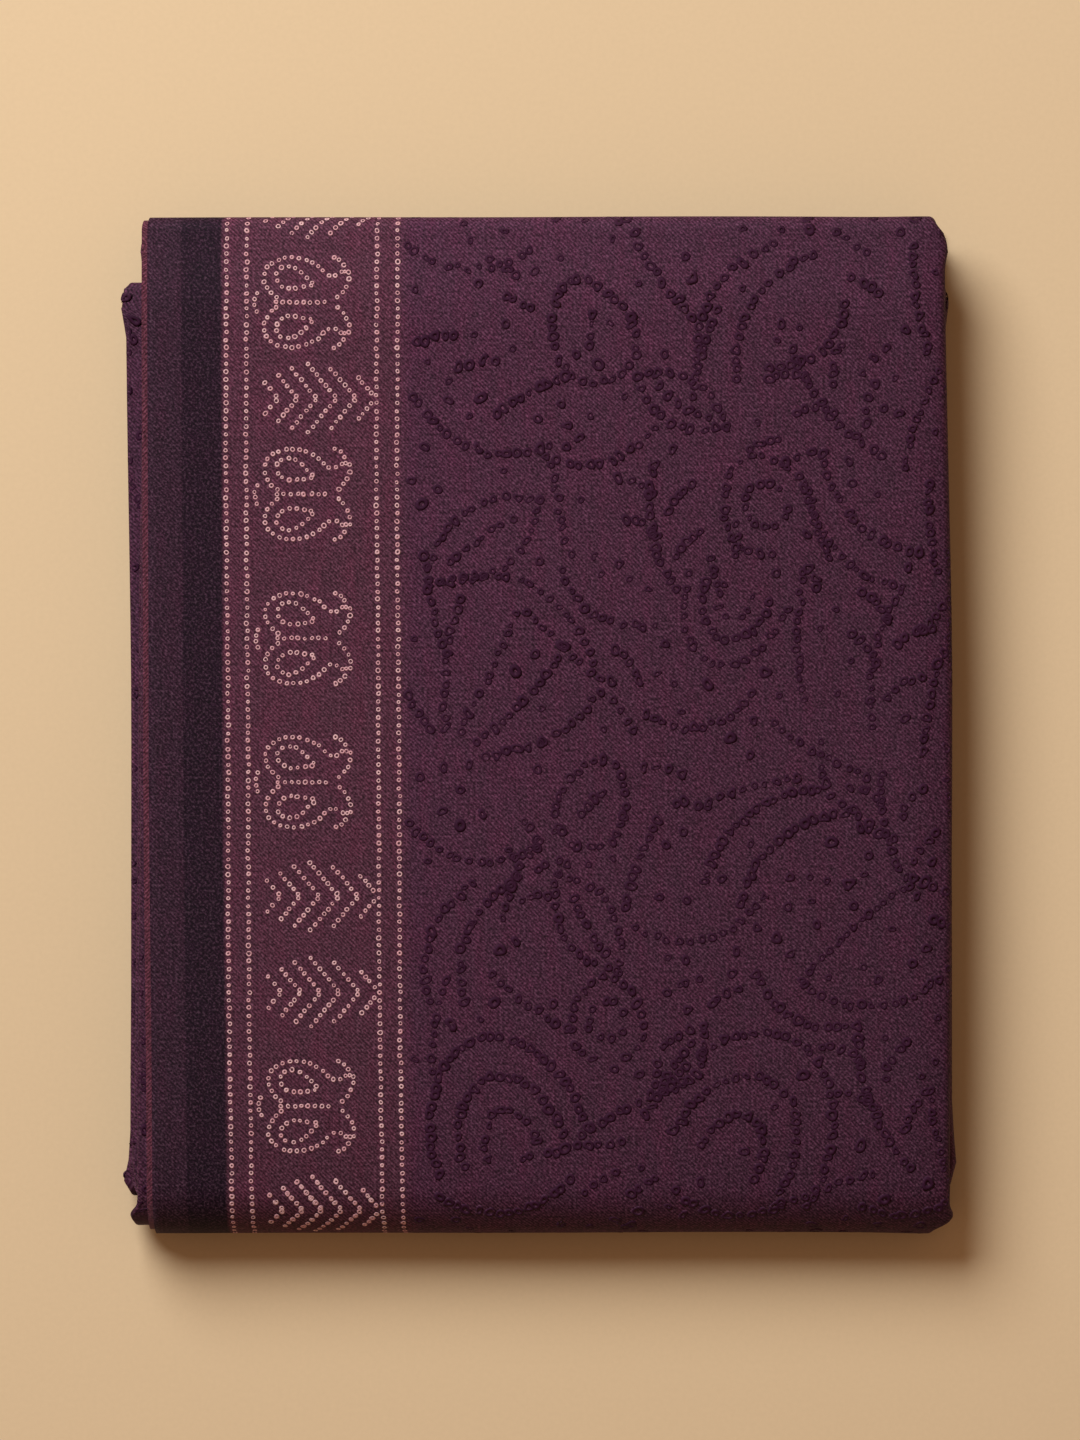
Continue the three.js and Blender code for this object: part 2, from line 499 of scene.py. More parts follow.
class NodeSheet:
    """Adds nodes to one tree and joins them."""

    def __init__(self, tree: bpy.types.NodeTree) -> None:
        """Starts on a tree, without the nodes that it came with."""
        self.tree = tree
        tree.nodes.clear()

    def put(self, kind: str, inputs: dict | None = None, **settings) -> bpy.types.Node:
        """Adds a node.

        Args:
            kind: the node's Blender type.
            inputs: a value or a socket for each input, by name or by place.
            settings: the node's own settings.

        Returns:
            The node.
        """
        node = self.tree.nodes.new(kind)
        for name, value in settings.items():
            setattr(node, name, value)
        for where, value in (inputs or {}).items():
            if isinstance(value, bpy.types.NodeSocket):
                self.tree.links.new(value, node.inputs[where])
            else:
                node.inputs[where].default_value = value
        return node

    def math(self, operation: str, first: Socket | float, second: Socket | float = 0.0) -> Socket:
        """A Math node's result."""
        return self.put("ShaderNodeMath", {0: first, 1: second}, operation=operation).outputs[0]

    def remap(self, value: Socket, low: float, high: float, to_low: float, to_high: float) -> Socket:
        """A value taken from one range to another, and held inside it."""
        node = self.put("ShaderNodeMapRange", {0: value, 1: low, 2: high, 3: to_low, 4: to_high})
        return node.outputs[0]

    def noise(self, where: Socket, size: float, detail: float = 2.0, rough: float = 0.5) -> Socket:
        """A noise from 0 to 1 with features of about that size in metres."""
        inputs = {"Vector": where, "Scale": 1.0 / size, "Detail": detail, "Roughness": rough}
        return self.put("ShaderNodeTexNoise", inputs).outputs["Fac"]

    def stretched(self, where: Socket, by: tuple[float, float, float]) -> Socket:
        """A place multiplied on each axis."""
        return self.put("ShaderNodeVectorMath", {0: where, 1: by}, operation="MULTIPLY").outputs[0]

    def mix(self, part: Socket | float, first: Socket | tuple, second: Socket | tuple) -> Socket:
        """Two colours mixed."""
        inputs = {0: part, 6: first, 7: second}
        return self.put("ShaderNodeMix", inputs, data_type="RGBA").outputs[2]

    def times(self, first: Socket | tuple, second: Socket | tuple) -> Socket:
        """Two colours multiplied."""
        inputs = {0: 1.0, 6: first, 7: second}
        return self.put("ShaderNodeMix", inputs, data_type="RGBA", blend_type="MULTIPLY").outputs[2]

    def toned(self, shown: Socket, tone: Socket) -> Socket:
        """A colour multiplied by one value."""
        grey = self.put("ShaderNodeCombineColor", {0: tone, 1: tone, 2: tone}).outputs[0]
        return self.times(shown, grey)

    def tone(self, value: Socket, by: float, low: float = 0.3, high: float = 0.7) -> Socket:
        """A value's range from low to high taken to a tone that goes by a share to both sides of 1."""
        return self.remap(value, low, high, 1.0 - by, 1.0 + by)


def colour(red: float, green: float, blue: float) -> tuple[float, float, float, float]:
    """A linear colour from one given in 0 to 255 as a screen shows it."""
    linear = []
    for value in (red, green, blue):
        share = value / 255.0
        linear.append(share / 12.92 if share <= 0.04045 else ((share + 0.055) / 1.055) ** 2.4)
    return linear[0], linear[1], linear[2], 1.0


@dataclass(frozen=True)
class DyedCotton:
    """The woven and dyed ground, as one node group that the cloth and its print share.

    The group reads the cloth's own map, in metres across and along. It gives the dye's colour in its bands,
    with the weave's threads, flecks and patches, painted shade of the light's falloff, painted shade in the
    weave's grooves with painted light on its crests, and pale threads with a painted sheen; and it gives the
    weave's height and a roughness.
    """

    name: str = "dyed_cotton"
    rib: float = 0.95
    thread: float = 0.34
    selvedge_band: tuple[float, float, float] = (45, 22, 37)
    dark_band: tuple[float, float, float] = (30, 10, 26)
    border: tuple[float, float, float] = (72, 36, 51)
    ground: tuple[float, float, float] = (65, 31, 51)
    wrong_side: tuple[float, float, float] = (84, 38, 49)
    # paler threads with a painted sheen: the colour that flecks of the weave are mixed towards
    pale_sheen_thread: tuple[float, float, float] = (150, 118, 132)
    bands_end: tuple[float, float, float] = (11.4, 24.8, 85.0)
    band_blurs: tuple[float, float, float] = (0.35, 0.5, 3.0)
    # painted shade and light of the weave's relief, as a share to both sides of 1
    weave_relief_painted_shade: float = 0.5
    fleck_tone: float = 0.7
    coarse_tone: float = 0.12
    # how much of the paler threads with their painted sheen the flecks take
    pale_sheen_threads: float = 0.17
    slub_tone: float = 0.3
    bend: float = 0.0009
    bend_size: float = 0.006
    fleck_size: float = 0.0009
    coarse_size: float = 0.0017
    slub_size: float = 0.0010
    wander_size: float = 0.004
    patch_size: float = 0.006
    cloud_size: float = 0.006
    redder: tuple[float, float, float, float] = (1.16, 0.93, 1.05, 1.0)
    bluer: tuple[float, float, float, float] = (0.97, 1.0, 1.0, 1.0)
    # painted shade of the light's falloff: the colour darkens towards the right fold and towards the front
    # roll
    painted_falloff_across: tuple[float, float] = (1.03, 0.86)
    painted_falloff_along: tuple[float, float] = (0.86, 1.05)

    def group(self) -> bpy.types.NodeTree:
        """The node group, made the first time that it is asked for."""
        known = bpy.data.node_groups.get(self.name)
        if known is not None:
            return known
        tree = bpy.data.node_groups.new(self.name, "ShaderNodeTree")
        sheet = NodeSheet(tree)
        for name, way, kind in (
            ("Map", "INPUT", "Vector"), ("Fade", "INPUT", "Float"), ("Color", "OUTPUT", "Color"),
            ("Height", "OUTPUT", "Float"), ("Roughness", "OUTPUT", "Float"),
        ):
            tree.interface.new_socket(name, in_out=way, socket_type=f"NodeSocket{kind}")
        given = sheet.put("NodeGroupInput")
        place = given.outputs["Map"]
        height = self.weave(sheet, place)
        tone = self.dye(sheet, place, given.outputs["Fade"])
        fleck = sheet.noise(place, self.fleck_size, 2.0, 0.7)
        # painted shade and light of the weave's relief: darker in its grooves, lighter on its crests
        shade = sheet.tone(height, self.weave_relief_painted_shade, 0.0, 1.0)
        shade = sheet.math("MULTIPLY", shade, sheet.tone(fleck, self.fleck_tone))
        shade = sheet.math("MULTIPLY", shade, self.slubs(sheet, place))
        coarse = sheet.noise(place, self.coarse_size, 1.0)
        shade = sheet.math("MULTIPLY", shade, sheet.tone(coarse, self.coarse_tone))
        shown = sheet.toned(tone, shade)
        # paler threads with a painted sheen: flecks of the colour mixed towards a pale grey mauve
        pale_sheen_part = sheet.remap(fleck, 0.5, 0.75, 0.0, self.pale_sheen_threads)
        shown = sheet.mix(pale_sheen_part, shown, colour(*self.pale_sheen_thread))
        rough = sheet.remap(fleck, 0.2, 0.8, 0.62, 0.76)
        sheet.put("NodeGroupOutput", {"Color": shown, "Height": height, "Roughness": rough})
        return tree

    def weave(self, sheet: NodeSheet, place: Socket) -> Socket:
        """The weave's height: a sine across the twill's ribs plus crossing threads, a little out of true."""
        bent = sheet.math("MULTIPLY", sheet.noise(place, self.bend_size, 1.0), self.bend)
        parts = sheet.put("ShaderNodeSeparateXYZ", {0: place})
        across, along = parts.outputs[0], parts.outputs[1]
        rib = sheet.math("ADD", sheet.math("ADD", across, along), bent)
        pitches = ((rib, self.rib * math.sqrt(2)), (across, self.thread), (along, self.thread))
        ribs, warp, weft = (
            sheet.math("SINE", sheet.math("MULTIPLY", way, 2 * math.pi / (pitch * MM)))
            for way, pitch in pitches
        )
        crossing = sheet.math("MULTIPLY", warp, weft)
        both = sheet.math("ADD", sheet.math("MULTIPLY", ribs, 0.42), sheet.math("MULTIPLY", crossing, 0.08))
        return sheet.math("ADD", both, 0.5)

    def slubs(self, sheet: NodeSheet, place: Socket) -> Socket:
        """A tone near 1 for threads that run thicker or thinner: noise drawn out along them, each way."""
        tones = []
        for stretch in ((1.0, 0.09, 1.0), (0.09, 1.0, 1.0)):
            drawn = sheet.stretched(place, stretch)
            tones.append(sheet.tone(sheet.noise(drawn, self.slub_size, 2.0, 0.6), self.slub_tone / 2))
        return sheet.math("MULTIPLY", tones[0], tones[1])

    def dye(self, sheet: NodeSheet, place: Socket, fade: Socket) -> Socket:
        """The dye's colour: bands along the selvedge, redder and bluer patches, paler on the wrong side.

        The colour is also darkened towards the right fold and the front roll, as painted shade of the light's
        falloff.
        """
        parts = sheet.put("ShaderNodeSeparateXYZ", {0: place})
        wander = sheet.remap(sheet.noise(place, self.wander_size, 2.0), 0.0, 1.0, -0.4, 0.4)
        across = sheet.math("ADD", sheet.math("MULTIPLY", parts.outputs[0], 1000.0), wander)
        shown = colour(*self.selvedge_band)
        bands = (self.dark_band, self.border, self.ground)
        for band, edge, blur in zip(bands, self.bands_end, self.band_blurs):
            part = sheet.remap(across, edge - blur, edge + blur, 0.0, 1.0)
            shown = sheet.mix(part, shown, colour(*band))
        drawn = sheet.stretched(place, (1.0, 0.3, 1.0))
        patch = sheet.remap(sheet.noise(drawn, self.patch_size, 3.0, 0.6), 0.42, 0.7, 0.0, 1.0)
        patched = sheet.mix(patch, sheet.times(shown, self.bluer), sheet.times(shown, self.redder))
        cloud = sheet.tone(sheet.noise(place, self.cloud_size, 2.0, 0.6), 0.08)
        # painted shade of the light's falloff: darker towards the right fold and towards the front roll
        painted_shade_towards_fold = sheet.remap(parts.outputs[0], 0.08, 0.27, *self.painted_falloff_across)
        painted_shade_towards_front = sheet.remap(parts.outputs[1], 0.36, 0.68, *self.painted_falloff_along)
        cloud = sheet.math("MULTIPLY", cloud, sheet.math("MULTIPLY", painted_shade_towards_fold, painted_shade_towards_front))
        return sheet.mix(fade, sheet.toned(patched, cloud), colour(*self.wrong_side))


@dataclass(frozen=True)
class CottonFinish:
    """Cotton cloth, its printed face or its wrong side."""

    name: str
    fade: float = 0.0
    sheen: float = 0.03
    sheen_roughness: float = 0.5
    specular: float = 0.11
    bump: float = 0.35
    bump_distance: float = 0.00012
    cotton: DyedCotton = DyedCotton()

    def material(self) -> bpy.types.Material:
        """The material, whose colour, roughness and bump come from the woven ground."""
        made = bpy.data.materials.new(self.name)
        made.use_nodes = True
        sheet = NodeSheet(made.node_tree)
        place = sheet.put("ShaderNodeUVMap", uv_map=CLOTH_MAP).outputs[0]
        inputs = {"Map": place, "Fade": self.fade}
        ground = sheet.put("ShaderNodeGroup", inputs, node_tree=self.cotton.group())
        shown = self.colour_over(sheet, place, ground)
        self.shade(sheet, shown, ground.outputs["Height"], ground.outputs["Roughness"])
        return made

    def colour_over(self, sheet: NodeSheet, place: Socket, ground: bpy.types.Node) -> Socket:
        """The colour that shows: the ground's own."""
        return ground.outputs["Color"]

    def shade(self, sheet: NodeSheet, shown: Socket, height: Socket, rough: Socket) -> None:
        """Joins a colour, a height and a roughness to the shader, which holds the constant values itself."""
        bump = sheet.put(
            "ShaderNodeBump",
            {"Height": height, "Strength": self.bump, "Distance": self.bump_distance},
        )
        shader = sheet.put(
            "ShaderNodeBsdfPrincipled",
            {
                "Base Color": shown,
                "Roughness": rough,
                "Normal": bump.outputs[0],
                "Specular IOR Level": self.specular,
                "Sheen Weight": self.sheen,
                "Sheen Roughness": self.sheen_roughness,
                "Sheen Tint": colour(190, 160, 175),
            },
        )
        sheet.put("ShaderNodeOutputMaterial", {"Surface": shader.outputs[0]})


@dataclass(frozen=True)
class InkFinish(CottonFinish):
    """Pigment on the cotton: the ground at a ring's edge, and the ink's own colour at its crest."""

    ink: tuple[float, float, float] = (206, 162, 164)
    second_ink: tuple[float, float, float] = (196, 142, 148)
    starts: float = 0.03
    full: float = 0.38
    broken: float = 0.3

    def colour_over(self, sheet: NodeSheet, place: Socket, ground: bpy.types.Node) -> Socket:
        """The pigment over the ground: the ink attribute times a fine noise says how much covers it."""
        amount = sheet.put("ShaderNodeAttribute", attribute_name=INK).outputs["Fac"]
        gaps = sheet.remap(sheet.noise(place, 0.0007, 2.0, 0.6), 0.3, 0.7, 1.0 - self.broken, 1.0)
        cover = sheet.remap(sheet.math("MULTIPLY", amount, gaps), self.starts, self.full, 0.0, 1.0)
        tint = sheet.remap(sheet.noise(place, 0.005, 1.0), 0.4, 0.6, 0.0, 1.0)
        pigment = sheet.mix(tint, colour(*self.ink), colour(*self.second_ink))
        # painted shade and light of the weave's relief on the pigment: darker in the grooves, lighter on the
        # crests
        threads = sheet.remap(ground.outputs["Height"], 0.0, 1.0, 0.86, 1.14)
        return sheet.mix(cover, ground.outputs["Color"], sheet.toned(pigment, threads))


# The cloth


@dataclass
class ClothSheet:
    """The cloth itself: one closed sheet of its real thickness, with its printed face and its wrong side."""

    folds: FoldedCloth
    name: str = "printed_cloth"
    flat_size: tuple[float, float] = (1.076, 1.943)
    flat_rows: tuple[int, ...] = (24, 64, 20, 20, 20, 20)
    round_rows: tuple[int, ...] = (28, 12, 12, 12, 12)
    columns: tuple[int, ...] = (56, 12, 12, 6, 10, 6, 12)
    end_weight: float = 0.6
    printed: CottonFinish = CottonFinish("printed_face")
    wrong: CottonFinish = CottonFinish("wrong_side", fade=0.75, sheen=0.12)

    def spaced(self, count: int) -> Array:
        """Parts from 0 to 1 that crowd towards both ends: a mix of even steps and half a cosine."""
        even = np.linspace(0.0, 1.0, count + 1)
        return blend(even, 0.5 - 0.5 * np.cos(math.pi * even), self.end_weight)

    def rows(self) -> Array:
        """The rows' distances along the strip."""
        marks = []
        for run in self.folds.runs:
            if run.kind is Stretch.FLAT:
                parts = self.spaced(self.flat_rows[run.index])
            else:
                parts = np.linspace(0.0, 1.0, self.round_rows[run.index] + 1)
            marks.append(run.start + run.length * parts[:-1])
        last = self.folds.runs[-1]
        return np.concatenate((*marks, [last.start + last.length]))

    def columns_of(self, along: Array) -> Array:
        """The columns' distances across the cloth, for each row."""
        lengths = self.folds.section_lengths(self.folds.station(along))
        start = np.zeros_like(along)
        marks = []
        for count, length in zip(self.columns, lengths):
            marks.append(start[:, None] + length[:, None] * self.spaced(count)[None, :-1])
            start = start + length
        return np.concatenate((*marks, start[:, None]), axis=1)

    def parts(self) -> MeshParts:
        """The sheet's mesh: a grid half the thickness away on each side of the middle, and a rim."""
        rows = self.rows()
        across = self.columns_of(rows)
        along = np.broadcast_to(rows[:, None], across.shape)
        half = self.folds.thickness / 2
        front = self.folds.place(across, along, np.full(across.shape, half))
        back = self.folds.place(across, along, np.full(across.shape, -half))
        high, wide = across.shape
        number = np.arange(high * wide).reshape(high, wide)
        behind = number + high * wide
        face = np.stack((number[:-1, :-1], number[:-1, 1:], number[1:, 1:], number[1:, :-1]), axis=-1)
        reverse = np.stack((behind[:-1, :-1], behind[1:, :-1], behind[1:, 1:], behind[:-1, 1:]), axis=-1)
        rim = self.rim(number, behind)
        quads = np.concatenate((face.reshape(-1, 4), reverse.reshape(-1, 4), rim))
        slots = np.concatenate((np.zeros(face.size // 4), np.ones(reverse.size // 4), np.ones(len(rim))))
        place = np.stack((across * MM, self.folds.printed_of(along) * MM), axis=-1).reshape(-1, 2)
        both = np.concatenate((place, place))
        return MeshParts(
            points=np.concatenate((front.reshape(-1, 3), back.reshape(-1, 3))),
            quads=quads,
            corner_maps={
                CLOTH_MAP: both[quads.ravel()],
                BAKE_MAP: self.bake_corners(high, wide, quads, len(rim)),
            },
            slots=slots,
            flat=np.arange(len(quads)) >= len(quads) - len(rim),
        )

    def rim(self, number: Array, behind: Array) -> Array:
        """The faces that close the two sides along the selvedges and the cut ends."""
        sides = (
            (number[:-1, 0], number[1:, 0], behind[1:, 0], behind[:-1, 0]),
            (number[1:, -1], number[:-1, -1], behind[:-1, -1], behind[1:, -1]),
            (number[0, 1:], number[0, :-1], behind[0, :-1], behind[0, 1:]),
            (number[-1, :-1], number[-1, 1:], behind[-1, 1:], behind[-1, :-1]),
        )
        return np.concatenate([np.stack(side, axis=-1) for side in sides])

    def bake_corners(self, high: int, wide: int, quads: Array, rim: int) -> Array:
        """The map for a bake: the faces that show from above fill three quarters of it, and the rest share
        the last quarter.

        Args:
            high: the grid's rows of points.
            wide: its columns of points.
            quads: all the faces.
            rim: how many of them close the edges.

        Returns:
            Two numbers for each corner.
        """
        row_ends = np.cumsum([0, *[n for pair in zip(self.flat_rows, (*self.round_rows, 0)) for n in pair]])
        show_rows, show_columns = (row_ends[1], row_ends[4]), self.columns[0] + self.columns[1]
        count = high * wide
        row, column = np.divmod(quads % count, wide)
        low_row, low_column = row.min(axis=1, keepdims=True), column.min(axis=1, keepdims=True)
        is_back = quads.min(axis=1, keepdims=True) >= count
        is_rim = (np.arange(len(quads)) >= len(quads) - rim)[:, None]
        inside = (low_row >= show_rows[0]) & (low_row < show_rows[1]) & (low_column < show_columns)
        best = inside & ~is_back & ~is_rim
        first_rows = low_row < show_rows[0]
        u_best = 0.74 * column / show_columns
        v_best = (row - show_rows[0]) / (show_rows[1] - show_rows[0])
        v_rest = np.where(first_rows, row / show_rows[0] * 0.18, 0.2 + 0.2 * row / (high - 1))
        u_rest = 0.75 + 0.24 * column / (wide - 1)
        v_back = 0.45 + 0.4 * row / (high - 1)
        v_between = 0.88 + 0.1 * row / (high - 1)
        other = inside | ((low_row >= show_rows[0]) & (low_row < show_rows[1]))
        v_rest = np.where(other, v_between, v_rest)
        u = np.where(best, u_best, u_rest)
        v = np.where(best, v_best, np.where(is_back, v_back, v_rest))
        order = np.arange(len(quads)) - (len(quads) - rim)
        side = np.searchsorted(np.cumsum((high - 1, high - 1, wide - 1)), order, side="right")[:, None]
        edge_u = 0.7405 + 0.0025 * side + 0.0018 * (quads >= count)
        u = np.where(is_rim, edge_u, u)
        v = np.where(is_rim, (row + column) / (high + wide), v)
        return np.stack((u, v), axis=-1).reshape(-1, 2)

    def build(self) -> bpy.types.Object:
        """Builds the sheet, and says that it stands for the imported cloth."""
        piece = self.parts().build(self.name, [self.printed.material(), self.wrong.material()])
        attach(piece, BODY)
        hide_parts(CLOTH_NODE)
        return piece


# The print


@dataclass
class Dots:
    """Ring centres on the flat print, across the cloth and along the printed layer, with their radii."""

    across: Array
    along: Array
    radius: Array

    @staticmethod
    def join(groups: list["Dots"]) -> "Dots":
        """One set from several."""
        names = ("across", "along", "radius")
        return Dots(*(np.concatenate([getattr(group, name) for group in groups]) for name in names))

    def keep(self, chosen: Array) -> "Dots":
        """The dots that are chosen."""
        return Dots(self.across[chosen], self.along[chosen], self.radius[chosen])

    def moved(self, across: float, along: float) -> "Dots":
        """The dots moved over the cloth."""
        return Dots(self.across + across, self.along + along, self.radius)


def stepped(line: Array, pitch: float, rng: np.random.Generator, uneven: float = 0.1) -> Array:
    """Points about a pitch apart along a line, at uneven steps.

    Args:
        line: points of the line.
        pitch: the mean step.
        rng: the source of chance.
        uneven: how much the steps differ, as a share of the pitch.

    Returns:
        The points, from the line's first to its last.
    """
    steps = np.linalg.norm(np.diff(line, axis=0), axis=1)
    gone = np.concatenate(([0.0], np.cumsum(steps)))
    count = max(2, int(round(gone[-1] / pitch)) + 1)
    marks = np.linspace(0.0, gone[-1], count)
    marks[1:-1] += rng.normal(0.0, uneven * pitch, count - 2)
    return np.stack([np.interp(marks, gone, line[:, k]) for k in (0, 1)], axis=1)


def bowed(start: tuple[float, float], end: tuple[float, float], bow: float, count: int = 40) -> Array:
    """A line from start to end that bows to its left: the chord plus a parabola of that height across it."""
    first, last = np.array(start), np.array(end)
    part = np.linspace(0.0, 1.0, count)[:, None]
    chord = last - first
    across = np.array([-chord[1], chord[0]]) / max(np.linalg.norm(chord), 1e-6)
    return first + chord * part + across * (4 * bow * part * (1 - part))


def walked(start: tuple[float, float], heading: float, legs: tuple[tuple[float, float], ...]) -> Array:
    """A line walked in legs, each of one length while it turns evenly by one angle.

    Args:
        start: the first point.
        heading: the first direction in degrees, anticlockwise from across.
        legs: the length and the turn in degrees of each leg.

    Returns:
        Points along the line.
    """
    step = 0.25
    lengths = np.concatenate([np.full(max(1, int(round(n / step))), step) for n, _ in legs])
    turns = np.concatenate([np.full(max(1, int(round(n / step))), t * step / n) for n, t in legs])
    angles = np.radians(heading + np.cumsum(turns) - turns / 2)
    moves = np.stack((np.cos(angles), np.sin(angles)), axis=1) * lengths[:, None]
    return np.array(start) + np.concatenate((np.zeros((1, 2)), np.cumsum(moves, axis=0)))


def drop(spine: Array, wide: float, thickest: float = 0.3, least: float = 1.1) -> list[Array]:
    """A drop along a spine: half an ellipse up to its thickest place, and an eased taper to its tip.

    Args:
        spine: points of the spine, from the round end to the tip.
        wide: the full width at the thickest place.
        thickest: that place, as a share of the spine.
        least: the half width below which the tail is one line.

    Returns:
        The outline round the drop, and the tail's single line.
    """
    step = np.gradient(spine, axis=0)
    side = np.stack((-step[:, 1], step[:, 0]), axis=1) / np.linalg.norm(step, axis=1, keepdims=True)
    part = np.linspace(0.0, 1.0, len(spine))
    bulb = np.sqrt(np.clip(1 - (1 - part / thickest) ** 2, 0.0, 1.0))
    taper = 1 - smooth((part - thickest) / (1 - thickest))
    half = wide / 2 * np.where(part < thickest, bulb, taper)
    ends = int(np.flatnonzero(half >= least)[-1]) + 1
    left, right = spine + side * half[:, None], spine - side * half[:, None]
    outline = np.concatenate((left[:ends][::-1], right[1:ends]))
    return [outline, spine[ends:]]


@dataclass
class RingPrint:
    """Rings of pigment as one mesh: closed bands, sunk at both edges and proud at the crest."""

    folds: FoldedCloth
    name: str
    finish: InkFinish
    seed: int
    sides: int = 12
    hole: tuple[float, float] = (0.25, 0.45)
    filled: float = 0.12
    uneven: float = 0.1
    broken: float = 0.25
    faint: float = 0.25
    crest: float = 0.045
    sunk: float = -0.012

    def build(self, dots: Dots) -> bpy.types.Object:
        """Builds the rings.

        The outer radius is the dot's own times one plus two small cosines of the angle, the inner radius is
        a share of it, and the crest runs midway. The ink is full at the crest, nothing at the edges, and
        fades over a short arc of a broken ring.

        Args:
            dots: where the rings are.

        Returns:
            The piece.
        """
        rng = np.random.default_rng(self.seed)
        count = len(dots.across)
        angle = np.linspace(0.0, 2 * math.pi, self.sides, endpoint=False)[None, :]
        phase = rng.uniform(0.0, 2 * math.pi, (count, 3))
        swell = rng.normal(0.0, self.uneven, (count, 2))
        round_about = 1 + swell[:, :1] * np.cos(2 * angle + phase[:, :1])
        round_about = round_about + 0.6 * swell[:, 1:] * np.cos(3 * angle + phase[:, 1:2])
        outer = dots.radius[:, None] * round_about
        share = rng.uniform(*self.hole, (count, 1))
        share = np.where(rng.random((count, 1)) < self.filled, 0.06, share)
        inner = outer * share
        middle = (outer + inner) / 2
        away = np.angle(np.exp(1j * (angle - phase[:, 2:])))
        is_open = (rng.random((count, 1)) < self.broken) * rng.uniform(0.5, 1.0, (count, 1))
        strength = 1 - self.faint * rng.random((count, 1)) ** 2
        ink = strength * (1 - is_open * np.exp(-((away / 0.6) ** 2)))
        radii = np.stack((outer, middle, inner), axis=1)
        across = dots.across[:, None, None] + radii * np.cos(angle)[:, None, :]
        along = dots.along[:, None, None] + radii * np.sin(angle)[:, None, :]
        half = self.folds.thickness / 2
        lift = np.array([self.sunk, self.crest, self.sunk])[None, :, None] + half
        points = self.folds.place(across, self.folds.along_of(along), lift)
        inks = np.stack((np.zeros_like(ink), ink, np.zeros_like(ink)), axis=1)
        number = np.arange(radii.size).reshape(radii.shape)
        following = np.roll(number, -1, axis=2)
        pairs = ((0, 1), (1, 2), (2, 0))
        quads = np.stack(
            [
                np.stack((number[:, a], following[:, a], following[:, b], number[:, b]), axis=-1)
                for a, b in pairs
            ],
            axis=1,
        )
        place = np.stack((across * MM, along * MM), axis=-1).reshape(-1, 2)
        parts = MeshParts(
            points=points.reshape(-1, 3),
            quads=quads.reshape(-1, 4),
            corner_maps={
                CLOTH_MAP: place[quads.reshape(-1)],
                BAKE_MAP: self.bake_corners(count),
            },
            values={INK: inks},
        )
        piece = parts.build(self.name, [self.finish.material()])
        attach(piece, BODY)
        return piece

    def bake_corners(self, count: int) -> Array:
        """The map for a bake.

        Each ring has a square cell, with its two upper bands unrolled side by side over most of it and the
        hidden band in a sliver.

        Args:
            count: how many rings there are.

        Returns:
            Two numbers for each corner.
        """
        cells = math.ceil(math.sqrt(count))
        ring = np.arange(count)
        row, column = np.divmod(ring, cells)
        step = np.arange(self.sides)
        start, end = 0.05 + 0.9 * step / self.sides, 0.05 + 0.9 * (step + 1) / self.sides
        bands = ((0.05, 0.45), (0.45, 0.85), (0.88, 0.95))
        u = np.stack([np.stack((start, end, end, start), axis=-1) for _ in bands])
        v = np.stack([np.broadcast_to(np.array([a, a, b, b]), (self.sides, 4)) for a, b in bands])
        u_all = (column[:, None, None, None] + u[None]) / cells
        v_all = (row[:, None, None, None] + v[None]) / cells
        return np.stack((u_all, v_all), axis=-1).reshape(-1, 2)


